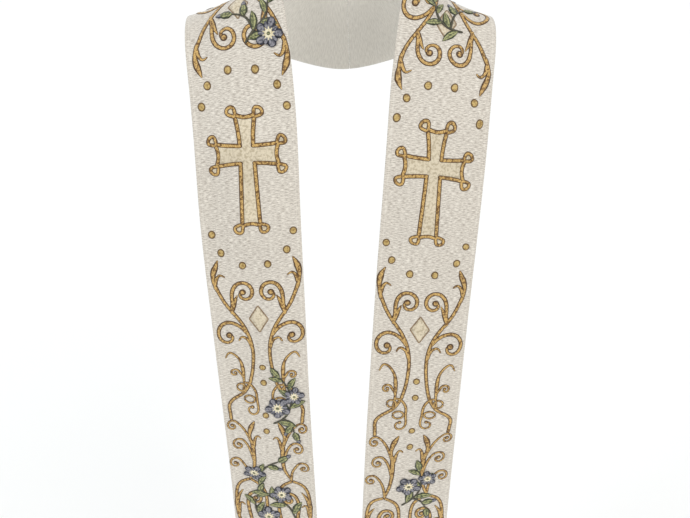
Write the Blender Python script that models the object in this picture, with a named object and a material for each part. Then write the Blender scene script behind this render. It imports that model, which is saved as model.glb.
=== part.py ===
"""Clergy stole, as it hangs on a wearer: one long band of woven cloth round the neck.

Two panels, one for each side of the wearer, are sewn together behind the neck.
Each panel goes round the neck, over the shoulder and down the front to a free hem.
The wearer faces -Y, +X is the wearer's left, and +Z is up. The origin lies midway
between the shoulders, where the band's centre line crosses the top of each of them.

Run with: blender --background --python part.py
"""

from collections import namedtuple

import bmesh
import bpy
import numpy as np

# Driving sizes, in millimetres.
MM = 0.001
BAND_WIDTH = 140.0  # from the edge at the neck to the outer edge
WALL = 2.0  # outer cloth and its backing, pressed together
SEAM_GAP = 0.3  # between the two panels, at the seam behind the neck
SEAM_SHIFT = 8.5  # the band has slipped this far towards the wearer's left
LEFT_LENGTH = 1380.0  # along the centre line, from the seam to the hem
RIGHT_LENGTH = 1380.0

# How finely the cloth is divided.
CURVED_REACH = 430.0  # the stretch on each side that bends round neck and shoulder
CURVED_STEP = 13.0
HANGING_STEP = 22.0
STRIPS_ACROSS = 10
FINE_STEPS = 6000  # for measuring distances along the centre line

# The cloth's colour: silver-white with a warm cast.
CLOTH_COLOUR = (0.62, 0.59, 0.55, 1.0)
CLOTH_ROUGHNESS = 0.72
CLOTH_METALLIC = 0.0

# One row is one section across the band, from the neck's edge to the outer edge.
# out, back, up: the middle of the section, in millimetres from the origin.
# swing: how far the section turns from straight sideways (0) to straight back (90).
# dip: how far the outer edge falls below the level of the neck's edge, in degrees.
# bow: how far the middle of the section stands off the body, in millimetres.
Section = namedtuple("Section", "out back up swing dip bow")

NAPE = Section(0, 92, -60, 90, 71, 0)
ROUND_THE_NECK = (
    Section(62, 92, -50, 47, 57, 3),
    Section(111, 69, -28, 28, 42, 0),
    Section(136, 38, -8, 18, 31, -3),
)
LEFT_FRONT = (
    Section(144, 4, 0, 13, 25, -5),
    Section(144, -27, -9, 12, 20, -3),
    Section(140, -56, -39, 11, 13, 0),
    Section(133, -84, -95, 11, 6, 4),
    Section(128, -104, -169, 11, 5, 5),
    Section(123, -115, -264, 9, 4, 4),
    Section(116, -120, -404, 7, 4, 3),
    Section(110, -119, -559, 4, 4, 2),
    Section(105, -115, -719, 0, 3, 2),
    Section(101, -110, -919, 0, 3, 2),
    Section(98, -104, -1160, 0, 3, 2),
)
RIGHT_FRONT = (
    Section(147, 4, 1, 7, 24, -5),
    Section(146, -27, -8, 5, 19, -3),
    Section(141, -57, -38, 3, 12, 0),
    Section(134, -86, -94, 3, 7, 4),
    Section(129, -107, -169, 2, 5, 5),
    Section(127, -118, -264, 1, 4, 4),
    Section(123, -122, -404, 5, 4, 3),
    Section(119, -119, -559, 9, 4, 2),
    Section(114, -114, -719, 10, 4, 2),
    Section(109, -108, -919, 8, 3, 2),
    Section(105, -102, -1160, 6, 3, 2),
)

# Soft folds. One row is one trough (lift below 0) or ridge (lift above 0).
# side: 1 on the wearer's left, -1 on the right. run: distance from the nape.
# across: from -1 at the neck's edge to 1 at the outer edge. slant: how far along
# the band the fold drifts from one edge to the other. reach and breadth: its half
# length along the band and half width across it. lift: its height.
Fold = namedtuple("Fold", "side run across slant reach breadth lift")

FOLDS = (
    Fold(1, 262, 0.62, 30, 46, 0.26, -3.4),
    Fold(1, 318, -0.48, -36, 70, 0.30, -2.6),
    Fold(1, 410, 0.80, 0, 95, 0.28, 3.0),
    Fold(1, 640, -0.70, 60, 150, 0.34, -3.2),
    Fold(1, 830, 0.55, -50, 170, 0.40, 3.6),
    Fold(1, 1080, -0.35, 40, 190, 0.42, 3.8),
    Fold(1, 1270, 0.60, 0, 120, 0.36, -4.2),
    Fold(-1, 270, 0.70, 24, 44, 0.24, -3.0),
    Fold(-1, 335, -0.55, -30, 64, 0.32, -3.0),
    Fold(-1, 455, 0.72, 20, 110, 0.30, -3.4),
    Fold(-1, 690, -0.45, -40, 140, 0.36, 3.2),
    Fold(-1, 900, 0.62, 50, 160, 0.36, -3.6),
    Fold(-1, 1120, -0.60, 0, 180, 0.44, -3.8),
    Fold(-1, 1300, 0.30, 30, 110, 0.50, 4.4),
)


def clear_scene():
    for thing in list(bpy.data.objects):
        bpy.data.objects.remove(thing)


def mirrored(section):
    """The same section on the wearer's other side."""
    return section._replace(out=-section.out, swing=180 - section.swing)


def smooth_curve(places, values):
    """A natural cubic spline through the values at the places, as a function."""
    count = len(places)
    gaps = np.diff(places)
    slopes = np.diff(values, axis=0) / gaps[:, None]
    system = np.zeros((count, count))
    wanted = np.zeros(values.shape)
    system[0, 0] = system[-1, -1] = 1
    for i in range(1, count - 1):
        system[i, i - 1] = gaps[i - 1]
        system[i, i] = 2 * (gaps[i - 1] + gaps[i])
        system[i, i + 1] = gaps[i]
        wanted[i] = 6 * (slopes[i] - slopes[i - 1])
    bends = np.linalg.solve(system, wanted)

    def curve(at):
        i = np.clip(np.searchsorted(places, at) - 1, 0, count - 2)
        after, before = (at - places[i])[:, None], (places[i + 1] - at)[:, None]
        gap = gaps[i][:, None]
        cubic = (bends[i] * before**3 + bends[i + 1] * after**3) / (6 * gap)
        near = (values[i] / gap - bends[i] * gap / 6) * before
        far = (values[i + 1] / gap - bends[i + 1] * gap / 6) * after
        return cubic + near + far

    return curve


class Band:
    """The stole's middle surface, from the right hem (run below 0) to the left hem."""

    def __init__(self):
        right = [mirrored(s) for s in reversed(ROUND_THE_NECK + RIGHT_FRONT)]
        rows = np.array([*right, NAPE, *ROUND_THE_NECK, *LEFT_FRONT], float)
        steps = np.linalg.norm(np.diff(rows[:, :3], axis=0), axis=1)
        places = np.concatenate([[0.0], np.cumsum(steps)])
        places -= places[len(right)]
        self.curve = smooth_curve(places, rows)
        self.fine = np.linspace(places[0], places[-1], FINE_STEPS)
        line = self.curve(self.fine)[:, :3]
        lengths = np.linalg.norm(np.diff(line, axis=0), axis=1)
        self.runs = np.concatenate([[0.0], np.cumsum(lengths)])
        self.runs -= np.interp(0.0, self.fine, self.runs)

    def sections(self, run):
        """Middle, direction outwards across the band, and bow, at each run."""
        rows = self.curve(np.interp(run, self.runs, self.fine))
        swing, dip = np.radians(rows[:, 3]), np.radians(rows[:, 4])
        across = np.stack(
            [np.cos(dip) * np.cos(swing), np.cos(dip) * np.sin(swing), -np.sin(dip)], 1
        )
        return rows[:, :3], across, rows[:, 5]

    def points(self, run, across):
        """Points on the cloth, in millimetres, at each run and place across (-1 to 1)."""
        middle, outwards, bow = self.sections(run)
        ahead, behind = self.sections(run + 1)[0], self.sections(run - 1)[0]
        off_body = np.cross(ahead - behind, outwards)
        off_body /= np.linalg.norm(off_body, axis=1)[:, None]
        lift = bow * (1 - across**2) + folds_at(run, across)
        along_width = (across * BAND_WIDTH / 2)[:, None]
        return middle + outwards * along_width + off_body * lift[:, None]


def folds_at(run, across):
    """How far the soft folds lift the cloth off the body."""
    lift = np.zeros_like(run)
    for fold in FOLDS:
        along = (run * fold.side - fold.run - fold.slant * across) / fold.reach
        aside = (across - fold.across) / fold.breadth
        lift += fold.lift * np.exp(-(along**2) - aside**2)
    return lift


def stations(start, length):
    """Distances from the nape, closer together where the cloth bends."""
    curved = np.arange(start, CURVED_REACH, CURVED_STEP)
    hanging = max(2, round((start + length - CURVED_REACH) / HANGING_STEP) + 1)
    return np.concatenate([curved, np.linspace(CURVED_REACH, start + length, hanging)])


def make_panel(name, band, side, length, material):
    """One side of the stole: a flat grid bent onto the band, then given its wall."""
    start = SEAM_SHIFT * side + SEAM_GAP / 2
    runs = stations(start, length) * side
    bm = bmesh.new()
    grid = bmesh.ops.create_grid(
        bm, x_segments=len(runs) - 1, y_segments=STRIPS_ACROSS, size=0.5
    )
    column = [round((v.co.x + 0.5) * (len(runs) - 1)) for v in grid["verts"]]
    across = np.array([2 * v.co.y for v in grid["verts"]])
    for vert, point in zip(grid["verts"], band.points(runs[column], across)):
        vert.co = point * MM
    if side < 0:
        bmesh.ops.reverse_faces(bm, faces=bm.faces)
    mesh = bpy.data.meshes.new(name)
    bm.to_mesh(mesh)
    bm.free()
    mesh.shade_smooth()
    mesh.materials.append(material)
    panel = bpy.data.objects.new(name, mesh)
    bpy.context.scene.collection.objects.link(panel)
    wall = panel.modifiers.new("wall", "SOLIDIFY")
    wall.thickness = WALL * MM
    wall.offset = 0.0
    wall.use_even_offset = True
    return panel


def cloth_material():
    material = bpy.data.materials.new("silver_white_cloth")
    material.use_nodes = True
    shader = material.node_tree.nodes["Principled BSDF"]
    shader.inputs["Base Color"].default_value = CLOTH_COLOUR
    shader.inputs["Roughness"].default_value = CLOTH_ROUGHNESS
    shader.inputs["Metallic"].default_value = CLOTH_METALLIC
    return material


def main():
    clear_scene()
    band = Band()
    cloth = cloth_material()
    make_panel("panel_left", band, 1, LEFT_LENGTH, cloth)
    make_panel("panel_right", band, -1, RIGHT_LENGTH, cloth)


main()
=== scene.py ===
# %% [markdown]
# # A clergy stole, as it is worn
#
# A stole is one long band of woven cloth that goes round the neck and hangs down the front.
# A plain model of it, already at its real size, is the fixed frame for everything here.
# This file gives it finer cloth, its woven surface and its embroidery. The embroidery
# could also be painted on the plain model as a picture, but thread that stands off the
# cloth catches light at its edges, so it is made as thin real shapes.

# %% Load the fixed frame
from collections import namedtuple
from functools import partial
import bmesh
import bpy
import numpy as np
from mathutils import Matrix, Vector


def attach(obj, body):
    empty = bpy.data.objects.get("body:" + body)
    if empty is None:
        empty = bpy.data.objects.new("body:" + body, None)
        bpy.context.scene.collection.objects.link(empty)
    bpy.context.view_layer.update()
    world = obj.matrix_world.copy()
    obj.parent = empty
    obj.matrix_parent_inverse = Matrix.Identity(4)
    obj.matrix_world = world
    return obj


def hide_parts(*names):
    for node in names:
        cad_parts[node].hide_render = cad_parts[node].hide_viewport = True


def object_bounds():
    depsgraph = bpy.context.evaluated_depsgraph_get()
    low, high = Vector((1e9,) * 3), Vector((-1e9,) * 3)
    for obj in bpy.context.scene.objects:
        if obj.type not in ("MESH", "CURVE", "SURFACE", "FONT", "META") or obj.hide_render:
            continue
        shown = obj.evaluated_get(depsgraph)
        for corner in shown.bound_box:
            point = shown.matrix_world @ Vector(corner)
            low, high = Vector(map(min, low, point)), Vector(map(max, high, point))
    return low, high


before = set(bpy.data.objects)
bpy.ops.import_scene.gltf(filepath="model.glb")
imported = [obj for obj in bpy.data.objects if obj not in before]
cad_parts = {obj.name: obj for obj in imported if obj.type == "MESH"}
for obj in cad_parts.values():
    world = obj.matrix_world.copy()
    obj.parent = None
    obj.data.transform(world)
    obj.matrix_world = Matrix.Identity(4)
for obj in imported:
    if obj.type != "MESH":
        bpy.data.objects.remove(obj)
solid_low, solid_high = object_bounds()
print("fixed frame, metres:", [round(c, 3) for c in solid_high - solid_low])

# %% [markdown]
# ## The sizes that everything follows
#
# A maker starts from a few measures: how wide the band is, how long each side is from the
# seam behind the neck to the hem, and how thick the cloth is with its backing. All lengths
# below are in millimetres, because that is how cloth is measured, and MM turns them into
# Blender's metres at the last moment.

# %% Driving sizes
MM = 0.001
BAND_WIDTH = 140.0
HALF_WIDTH = BAND_WIDTH / 2
WALL = 2.0  # outer cloth and backing, pressed together
SEAM_GAP = 0.3  # between the two panels behind the neck
SEAM_SHIFT = 8.5  # the band has slipped this far towards its left side
PANEL_LENGTH = 1380.0  # from the seam to each hem
LEFT, RIGHT = 1, -1
SIDE_NAMES = {LEFT: "left", RIGHT: "right"}
print("band", BAND_WIDTH, "mm wide,", 2 * PANEL_LENGTH, "mm from hem to hem")

# %% [markdown]
# ## The band's path
#
# Cloth that is worn takes its shape from what it lies on: here it rises behind the neck,
# turns flat over the shoulder and then hangs. A row of cross sections says this with few
# numbers: where the middle of the band is, how far the section swings round, how far its
# outer edge dips, both in degrees, and how far its middle bows out. A smooth curve
# through the rows gives every section between them. The rows are the same as in the
# plain model, so that the fine cloth lies on it.

# %% Cross sections along the band
Section = namedtuple("Section", "out back up swing dip bow")

NAPE = Section(0, 92, -60, 90, 71, 0)
ROUND_THE_NECK = (
    Section(62, 92, -50, 47, 57, 3),
    Section(111, 69, -28, 28, 42, 0),
    Section(136, 38, -8, 18, 31, -3),
)
LEFT_FRONT = (
    Section(144, 4, 0, 13, 25, -5),
    Section(144, -27, -9, 12, 20, -3),
    Section(140, -56, -39, 11, 13, 0),
    Section(133, -84, -95, 11, 6, 4),
    Section(128, -104, -169, 11, 5, 5),
    Section(123, -115, -264, 9, 4, 4),
    Section(116, -120, -404, 7, 4, 3),
    Section(110, -119, -559, 4, 4, 2),
    Section(105, -115, -719, 0, 3, 2),
    Section(101, -110, -919, 0, 3, 2),
    Section(98, -104, -1160, 0, 3, 2),
)
RIGHT_FRONT = (
    Section(147, 4, 1, 7, 24, -5),
    Section(146, -27, -8, 5, 19, -3),
    Section(141, -57, -38, 3, 12, 0),
    Section(134, -86, -94, 3, 7, 4),
    Section(129, -107, -169, 2, 5, 5),
    Section(127, -118, -264, 1, 4, 4),
    Section(123, -122, -404, 5, 4, 3),
    Section(119, -119, -559, 9, 4, 2),
    Section(114, -114, -719, 10, 4, 2),
    Section(109, -108, -919, 8, 3, 2),
    Section(105, -102, -1160, 6, 3, 2),
)
print(len(LEFT_FRONT) + len(RIGHT_FRONT) + 2 * len(ROUND_THE_NECK) + 1, "sections")


# %% A smooth curve through a few values
def smooth_curve(places, values):
    """A natural cubic spline through the values at the places, as a function."""
    count = len(places)
    gaps = np.diff(places)
    slopes = np.diff(values, axis=0) / gaps[:, None]
    system = np.zeros((count, count))
    wanted = np.zeros(values.shape)
    system[0, 0] = system[-1, -1] = 1
    for i in range(1, count - 1):
        system[i, i - 1] = gaps[i - 1]
        system[i, i] = 2 * (gaps[i - 1] + gaps[i])
        system[i, i + 1] = gaps[i]
        wanted[i] = 6 * (slopes[i] - slopes[i - 1])
    bends = np.linalg.solve(system, wanted)

    def curve(at):
        i = np.clip(np.searchsorted(places, at) - 1, 0, count - 2)
        after, before = (at - places[i])[:, None], (places[i + 1] - at)[:, None]
        gap = gaps[i][:, None]
        cubic = (bends[i] * before**3 + bends[i + 1] * after**3) / (6 * gap)
        near = (values[i] / gap - bends[i] * gap / 6) * before
        far = (values[i + 1] / gap - bends[i + 1] * gap / 6) * after
        return cubic + near + far

    return curve


# %% [markdown]
# ## Folds and creases
#
# Cloth that hangs is never quite flat. Long soft folds run down it, and small creases
# gather where it bends over the shoulder. A cloth simulation would find some, but not
# these ones, so each is given one by one: its place, its slant, its length, its breadth and
# how far it rises or sinks. All of them fade out softly, as a bell curve does. The long
# folds are those of the plain model. The small creases are added here, all under 2 mm.

# %% Long folds and small creases
Fold = namedtuple("Fold", "side run across slant reach breadth lift")

FOLDS = (
    Fold(LEFT, 262, 0.62, 30, 46, 0.26, -3.4),
    Fold(LEFT, 318, -0.48, -36, 70, 0.30, -2.6),
    Fold(LEFT, 410, 0.80, 0, 95, 0.28, 3.0),
    Fold(LEFT, 640, -0.70, 60, 150, 0.34, -3.2),
    Fold(LEFT, 830, 0.55, -50, 170, 0.40, 3.6),
    Fold(LEFT, 1080, -0.35, 40, 190, 0.42, 3.8),
    Fold(LEFT, 1270, 0.60, 0, 120, 0.36, -4.2),
    Fold(RIGHT, 270, 0.70, 24, 44, 0.24, -3.0),
    Fold(RIGHT, 335, -0.55, -30, 64, 0.32, -3.0),
    Fold(RIGHT, 455, 0.72, 20, 110, 0.30, -3.4),
    Fold(RIGHT, 690, -0.45, -40, 140, 0.36, 3.2),
    Fold(RIGHT, 900, 0.62, 50, 160, 0.36, -3.6),
    Fold(RIGHT, 1120, -0.60, 0, 180, 0.44, -3.8),
    Fold(RIGHT, 1300, 0.30, 30, 110, 0.50, 4.4),
)
CREASES = (
    Fold(LEFT, 60, 0.30, 14, 30, 0.30, 0.9),
    Fold(LEFT, 118, -0.55, -12, 24, 0.24, -1.0),
    Fold(LEFT, 176, 0.20, 22, 26, 0.34, 0.8),
    Fold(LEFT, 228, -0.30, 10, 15, 0.40, -0.9),
    Fold(LEFT, 251, 0.10, -16, 13, 0.46, 0.9),
    Fold(LEFT, 296, 0.66, 34, 16, 0.30, -1.1),
    Fold(LEFT, 372, 0.10, 52, 22, 0.42, 0.7),
    Fold(LEFT, 436, -0.74, -38, 30, 0.20, -1.0),
    Fold(LEFT, 518, 0.46, 66, 34, 0.30, -0.8),
    Fold(LEFT, 604, -0.16, -70, 28, 0.36, 0.7),
    Fold(LEFT, 742, 0.30, 58, 46, 0.28, -0.9),
    Fold(LEFT, 905, -0.62, -64, 52, 0.24, 0.9),
    Fold(LEFT, 1010, 0.70, 30, 60, 0.20, -1.0),
    Fold(LEFT, 1190, 0.12, 80, 48, 0.30, 0.8),
    Fold(RIGHT, 48, -0.36, -16, 28, 0.28, -0.9),
    Fold(RIGHT, 104, 0.44, 12, 30, 0.30, 1.0),
    Fold(RIGHT, 168, -0.24, -20, 24, 0.36, -0.8),
    Fold(RIGHT, 226, 0.34, -10, 16, 0.38, 0.9),
    Fold(RIGHT, 249, -0.20, 18, 12, 0.42, -0.8),
    Fold(RIGHT, 305, -0.70, -30, 20, 0.26, 1.0),
    Fold(RIGHT, 388, 0.30, -48, 24, 0.40, -0.8),
    Fold(RIGHT, 476, -0.52, 60, 34, 0.26, -0.9),
    Fold(RIGHT, 566, 0.20, 74, 26, 0.38, 1.1),
    Fold(RIGHT, 622, 0.64, -40, 30, 0.24, -0.9),
    Fold(RIGHT, 770, -0.24, -62, 50, 0.30, 0.8),
    Fold(RIGHT, 860, 0.70, 44, 44, 0.20, 1.0),
    Fold(RIGHT, 1040, -0.30, 70, 58, 0.28, -0.9),
    Fold(RIGHT, 1215, 0.40, -66, 44, 0.30, 0.9),
)


def folds_at(run, across, folds):
    """How far soft folds lift the cloth, in millimetres."""
    lift = np.zeros_like(run)
    for fold in folds:
        along = (run * fold.side - fold.run - fold.slant * across) / fold.reach
        aside = (across - fold.across) / fold.breadth
        lift += fold.lift * np.exp(-(along**2) - aside**2)
    return lift


print(len(FOLDS), "long folds and", len(CREASES), "small creases")

# %% [markdown]
# ## From a flat pattern to the worn band
#
# A pattern is easiest to draw flat. So each point is first a place on flat cloth: how far
# along the band, how far across it, and how high above the cloth. The Band class turns
# such places into points of the worn stole. Its normal comes from two small steps on the
# cloth itself, one along and one across, so thread laid on a fold tilts with the fold.

# %% The worn band as a function
FINE_STEPS = 6000
PROBE = 0.5  # half the small step, in millimetres, that finds the cloth's slope


def mirrored(section):
    """The same section on the other side."""
    return section._replace(out=-section.out, swing=180 - section.swing)


class Band:
    """The stole's middle surface, from the right hem (run below 0) to the left hem."""

    def __init__(self):
        right = [mirrored(s) for s in reversed(ROUND_THE_NECK + RIGHT_FRONT)]
        rows = np.array([*right, NAPE, *ROUND_THE_NECK, *LEFT_FRONT], float)
        steps = np.linalg.norm(np.diff(rows[:, :3], axis=0), axis=1)
        places = np.concatenate([[0.0], np.cumsum(steps)])
        places -= places[len(right)]
        self.curve = smooth_curve(places, rows)
        self.fine = np.linspace(places[0], places[-1], FINE_STEPS)
        line = self.curve(self.fine)[:, :3]
        lengths = np.linalg.norm(np.diff(line, axis=0), axis=1)
        self.runs = np.concatenate([[0.0], np.cumsum(lengths)])
        self.runs -= np.interp(0.0, self.fine, self.runs)

    def sections(self, run):
        rows = self.curve(np.interp(run, self.runs, self.fine))
        swing, dip = np.radians(rows[:, 3]), np.radians(rows[:, 4])
        across = [np.cos(dip) * np.cos(swing), np.cos(dip) * np.sin(swing), -np.sin(dip)]
        return rows[:, :3], np.stack(across, 1), rows[:, 5]

    def middle(self, run, across):
        """Points in the middle of the wall, in millimetres. across goes from -1 to 1."""
        centre, outwards, bow = self.sections(run)
        ahead, behind = self.sections(run + 1)[0], self.sections(run - 1)[0]
        off = np.cross(ahead - behind, outwards)
        off /= np.linalg.norm(off, axis=1)[:, None]
        lift = bow * (1 - across**2) + folds_at(run, across, FOLDS)
        lift += folds_at(run, across, CREASES)
        return centre + outwards * (across * HALF_WIDTH)[:, None] + off * lift[:, None]

    def surface(self, run, across, height):
        """Points at a height above the middle of the wall, on the outer side."""
        step = PROBE / HALF_WIDTH
        along = self.middle(run + PROBE, across) - self.middle(run - PROBE, across)
        aside = self.middle(run, across + step) - self.middle(run, across - step)
        normal = np.cross(along, aside)
        normal /= np.linalg.norm(normal, axis=1)[:, None]
        return self.middle(run, across) + normal * height[:, None]


band = Band()
print("sections run from", round(band.runs[0]), "to", round(band.runs[-1]), "mm")

# %% [markdown]
# ## Two panels of cloth
#
# The real stole is cut as two panels, sewn together behind the neck. Each one starts here
# as a flat grid, and every point of the grid is sent to its place on the worn band. The
# place on the flat cloth is kept as an attribute called weave, in millimetres, because
# the threads must follow the cloth round its bends. A Solidify modifier gives the wall
# and puts a second, plain finish on the reverse. A Bevel rounds the cut edges, as turned
# cloth is round and not sharp.

# %% Cloth shells
CLOTH_STEP = 3.5
CLOTH_STRIPS = 40
EDGE_ROUND = 0.85


def flat_grid(bm, columns, rows):
    """A flat grid: its vertices, with each one's column (0 to 1) and row (-1 to 1)."""
    grid = bmesh.ops.create_grid(bm, x_segments=columns, y_segments=rows, size=0.5)
    verts = grid["verts"]
    return verts, np.array([v.co.x + 0.5 for v in verts]), np.array([2 * v.co.y for v in verts])


def new_piece(name, bm, materials):
    """Turns a bmesh into an object that rides with the stole's one body."""
    mesh = bpy.data.meshes.new(name)
    bm.to_mesh(mesh)
    bm.free()
    mesh.shade_smooth()
    for material in materials:
        mesh.materials.append(material)
    piece = bpy.data.objects.new(name, mesh)
    bpy.context.scene.collection.objects.link(piece)
    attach(piece, "root")
    return piece


def add_wall(piece, thickness, offset):
    wall = piece.modifiers.new("wall", "SOLIDIFY")
    wall.thickness = thickness * MM
    wall.offset = offset
    wall.use_even_offset = True
    return wall


def cloth_shell(side, materials):
    """One side of the stole, from the seam behind the neck to the hem."""
    start = SEAM_SHIFT * side + SEAM_GAP / 2
    bm = bmesh.new()
    weave = bm.verts.layers.float_vector.new("weave")
    verts, column, across = flat_grid(bm, round(PANEL_LENGTH / CLOTH_STEP), CLOTH_STRIPS)
    run = side * (start + column * PANEL_LENGTH)
    points = band.middle(run, across) * MM
    for vert, point, along, aside in zip(verts, points, run, across * HALF_WIDTH):
        vert.co = point
        vert[weave] = (aside, along, side)
    if side == RIGHT:
        bmesh.ops.reverse_faces(bm, faces=bm.faces)
    piece = new_piece("cloth_" + SIDE_NAMES[side], bm, materials)
    add_wall(piece, WALL, 0.0).material_offset = 1
    rounding = piece.modifiers.new("rounded_edges", "BEVEL")
    rounding.width = EDGE_ROUND * MM
    rounding.segments = 3
    rounding.profile = 0.5
    rounding.limit_method = "ANGLE"
    rounding.harden_normals = False
    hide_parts("panel_" + SIDE_NAMES[side])
    return piece


# %% [markdown]
# ## Helpers for node materials
#
# Each finish is a small tree of nodes. Written out in full it would be long, so short
# helpers add a node with its settings and link its sockets by name. An effect that
# several finishes share goes into a node group with named inputs and outputs, made once.

# %% Node helpers
def add_node(tree, kind, settings=None, **sockets):
    """A new node. settings are its own properties, sockets are values or other sockets."""
    node = tree.nodes.new("ShaderNode" + kind)
    for name, value in (settings or {}).items():
        setattr(node, name, value)
    for name, value in sockets.items():
        key = int(name[1:]) if name[1:].isdigit() else name.replace("_", " ")
        if isinstance(value, bpy.types.NodeSocket):
            tree.links.new(value, node.inputs[key])
        else:
            node.inputs[key].default_value = value
    return node


def maths(tree, operation, *values):
    """The result of a Math node."""
    numbered = {f"n{i}": value for i, value in enumerate(values)}
    return add_node(tree, "Math", {"operation": operation}, **numbered).outputs[0]


def noise(tree, place, scale, detail, roughness=0.5):
    """The value of a Noise Texture, about 0.5 on average."""
    node = add_node(
        tree, "TexNoise", Vector=place, Scale=scale, Detail=detail, Roughness=roughness
    )
    return node.outputs["Fac"]


def blend_colours(tree, share, first, second):
    """A colour between two others."""
    node = add_node(tree, "Mix", {"data_type": "RGBA"})
    for index, value in ((0, share), (6, first), (7, second)):
        if isinstance(value, bpy.types.NodeSocket):
            tree.links.new(value, node.inputs[index])
        else:
            node.inputs[index].default_value = value
    return node.outputs[2]


def remap(tree, value, low, high, to_low=0.0, to_high=1.0):
    """A value stretched smoothly from one range to another."""
    node = add_node(
        tree, "MapRange", {"interpolation_type": "SMOOTHSTEP"},
        Value=value, From_Min=low, From_Max=high, To_Min=to_low, To_Max=to_high,
    )
    return node.outputs[0]


def new_group(name, inputs, outputs):
    """An empty node group with named sockets, its input node and its output node."""
    group = bpy.data.node_groups.new(name, "ShaderNodeTree")
    for direction, sockets in (("INPUT", inputs), ("OUTPUT", outputs)):
        for label, kind in sockets.items():
            group.interface.new_socket(label, in_out=direction, socket_type="NodeSocket" + kind)
    return group, group.nodes.new("NodeGroupInput"), group.nodes.new("NodeGroupOutput")


def use_group(tree, group, **sockets):
    """Places a group in a tree, with its own values."""
    node = tree.nodes.new("ShaderNodeGroup")
    node.node_tree = group
    for name, value in sockets.items():
        key = name.replace("_", " ")
        if isinstance(value, bpy.types.NodeSocket):
            tree.links.new(value, node.inputs[key])
        else:
            node.inputs[key].default_value = value
    return node.outputs


def new_material(name, roughness, sheen):
    """A material with its Principled shader, and constant values set on the shader."""
    material = bpy.data.materials.new(name)
    material.use_nodes = True
    shader = material.node_tree.nodes["Principled BSDF"]
    shader.inputs["Roughness"].default_value = roughness
    shader.inputs["Sheen Weight"].default_value = sheen
    shader.inputs["Sheen Roughness"].default_value = 0.4
    shader.inputs["Specular IOR Level"].default_value = 0.35
    return material, material.node_tree, shader


def attribute(tree, name):
    """Where a point is on the flat cloth or on its thread, as x, y and z."""
    vector = add_node(tree, "Attribute", {"attribute_name": name}).outputs["Vector"]
    parts = add_node(tree, "SeparateXYZ", Vector=vector)
    return vector, parts.outputs[0], parts.outputs[1], parts.outputs[2]


def set_bump(tree, shader, height, strength, distance):
    bump = add_node(tree, "Bump", Height=height, Strength=strength, Distance=distance * MM)
    tree.links.new(bump.outputs[0], shader.inputs["Normal"])


# %% [markdown]
# ## Uneven cross threads
#
# The ground is woven with thick and thin cross threads, so fine broken streaks run across
# the band and none runs down it. A picture of a weave would repeat. Noise that is long
# across the cloth and short along it gives streaks that never repeat, and two sine waves
# give the regular over and under of the threads. The group hands out a tone, a mask of
# flecks and a height, and the reverse of the cloth uses it again with calmer values.

# %% Group: cross threads
FULL_TURN = 6.283  # radians

cross_threads, group_in, group_out = new_group(
    "cross_threads",
    {"Place": "Vector", "Streak Length": "Float", "Streak Width": "Float", "Pick": "Float"},
    {"Tone": "Float", "Fleck": "Float", "Height": "Float"},
)
calc = partial(maths, cross_threads)
place = group_in.outputs
parts = add_node(cross_threads, "SeparateXYZ", Vector=place["Place"]).outputs
long_way = calc("DIVIDE", parts[0], place["Streak Length"])
short_way = calc("DIVIDE", parts[1], place["Streak Width"])
streak_place = add_node(cross_threads, "CombineXYZ", X=long_way, Y=short_way, Z=parts[2])
streaks = noise(cross_threads, streak_place.outputs[0], 1.0, 3.0, 0.6)
finer_x = calc("MULTIPLY", long_way, 3.1)
finer_y = calc("MULTIPLY", short_way, 1.9)
fleck_place = add_node(cross_threads, "CombineXYZ", X=finer_x, Y=finer_y, Z=7.0)
flecks = noise(cross_threads, fleck_place.outputs[0], 1.0, 2.0)
wobble = calc("MULTIPLY", streaks, 2.0)
pick_turns = calc("ADD", calc("DIVIDE", parts[1], place["Pick"]), wobble)
picks = calc("SINE", calc("MULTIPLY", pick_turns, FULL_TURN))
end_turns = calc("DIVIDE", parts[0], place["Pick"])
ends = calc("SINE", calc("MULTIPLY", end_turns, FULL_TURN))
weave_height = calc("MULTIPLY_ADD", calc("MULTIPLY", picks, ends), 0.18, 0.5)
height = calc("MULTIPLY_ADD", streaks, 0.9, weave_height)
cross_threads.links.new(remap(cross_threads, streaks, 0.32, 0.66), group_out.inputs["Tone"])
cross_threads.links.new(remap(cross_threads, flecks, 0.5, 0.72), group_out.inputs["Fleck"])
cross_threads.links.new(height, group_out.inputs["Height"])
print("group cross_threads:", len(cross_threads.nodes), "nodes")

# %% [markdown]
# ## Slow changes of tone
#
# No cloth or thread is one even colour over a whole metre: dye, handling and light change
# it slowly. One group does this for every finish with a slow noise on Object coordinates.
# Cloth changes little and over about 120 mm, thread more and over about 60 mm.

# %% Group: slow tone
slow_tone, group_in, group_out = new_group(
    "slow_tone", {"Size": "Float", "Amount": "Float"}, {"Shade": "Float"}
)
calc = partial(maths, slow_tone)
here = add_node(slow_tone, "TexCoord").outputs["Object"]
how_often = calc("DIVIDE", 1000.0, group_in.outputs["Size"])  # Size is in millimetres
swing_about = calc("SUBTRACT", noise(slow_tone, here, how_often, 2.0), 0.5)
shade = calc("MULTIPLY_ADD", swing_about, group_in.outputs["Amount"], 1.0)
slow_tone.links.new(shade, group_out.inputs["Shade"])


def shaded(tree, colour, size, amount):
    """A colour made slowly lighter and darker over the stole."""
    shade = use_group(tree, slow_tone, Size=size, Amount=amount)["Shade"]
    node = add_node(tree, "VectorMath", {"operation": "SCALE"}, Vector=colour, Scale=shade)
    return node.outputs[0]


print("group slow_tone:", len(slow_tone.nodes), "nodes")

# %% [markdown]
# ## The ground cloth and its reverse
#
# The ground is silver-white with grey-brown and cream threads among the white ones. Close
# to each long edge the cloth is turned in and pressed, which leaves a thin paler line.
# The reverse has no embroidery and shows a plain, even weave.

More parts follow.
